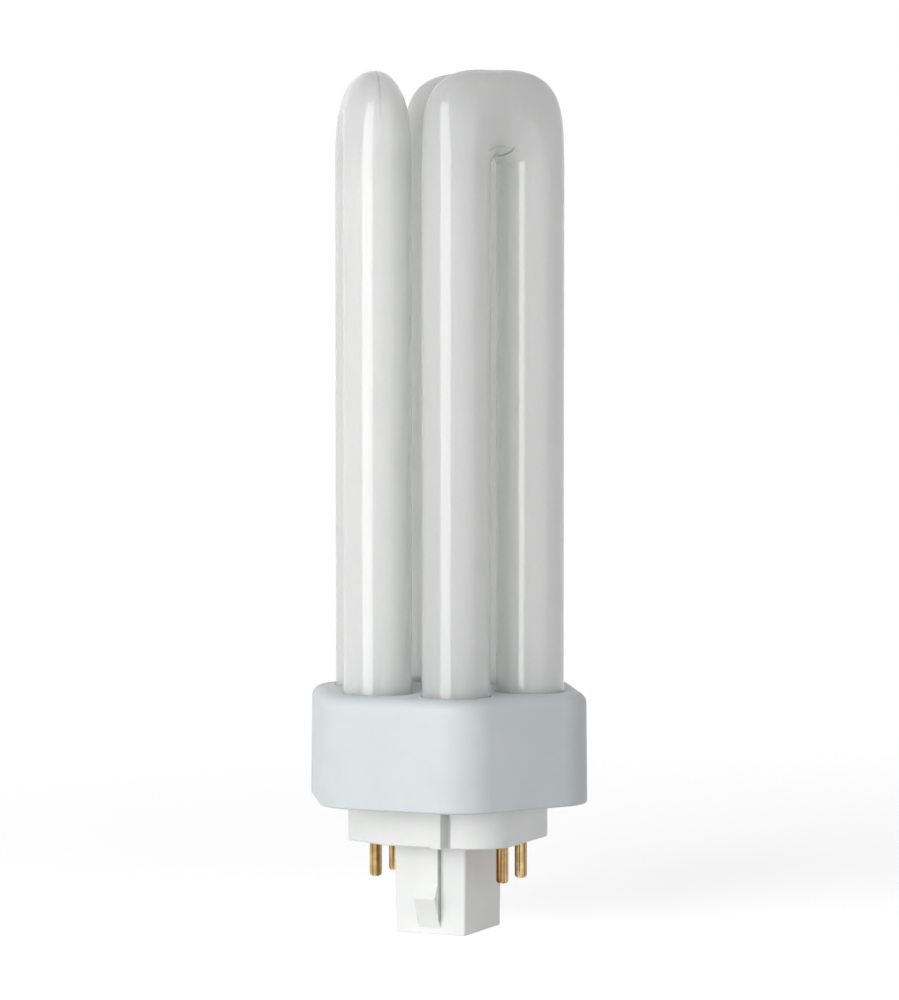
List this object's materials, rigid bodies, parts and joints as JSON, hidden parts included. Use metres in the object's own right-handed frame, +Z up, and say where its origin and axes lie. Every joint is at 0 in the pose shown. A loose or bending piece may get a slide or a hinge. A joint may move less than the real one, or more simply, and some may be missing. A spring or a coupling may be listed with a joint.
{
  "type": "compact fluorescent bulb",
  "caption": "Plug-in compact fluorescent bulb: white-coated U-bent glass tubes in a rounded hexagonal collar, on a keyed plastic cap with brass contact pins and a latching post.",
  "frame": {"origin": "centre of the pin pattern on the cap ring's underside, the face that seats in a lampholder", "axes": "+Z up along the glass tubes, away from the lampholder; -Y towards the side with the key slot; X along the wide spacing of the pins"},
  "size_m": [0.0498, 0.0454, 0.1459],
  "materials": {
    "coated_glass": "clear glass, coated white inside",
    "white_plastic": "satin moulded",
    "pin_brass": "polished",
    "wire_metal": "drawn",
    "cement": "chalky"
  },
  "bodies": {
    "root": {"discharge_tube": "coated_glass", "tube_collar": "white_plastic", "basing_cement": "cement", "base_cap": "white_plastic", "contact_pin_1": "pin_brass", "contact_pin_2": "pin_brass", "contact_pin_3": "pin_brass", "contact_pin_4": "pin_brass", "lead_wire_1": "wire_metal", "lead_wire_2": "wire_metal", "lead_wire_3": "wire_metal", "lead_wire_4": "wire_metal"}
  },
  "joints": []
}
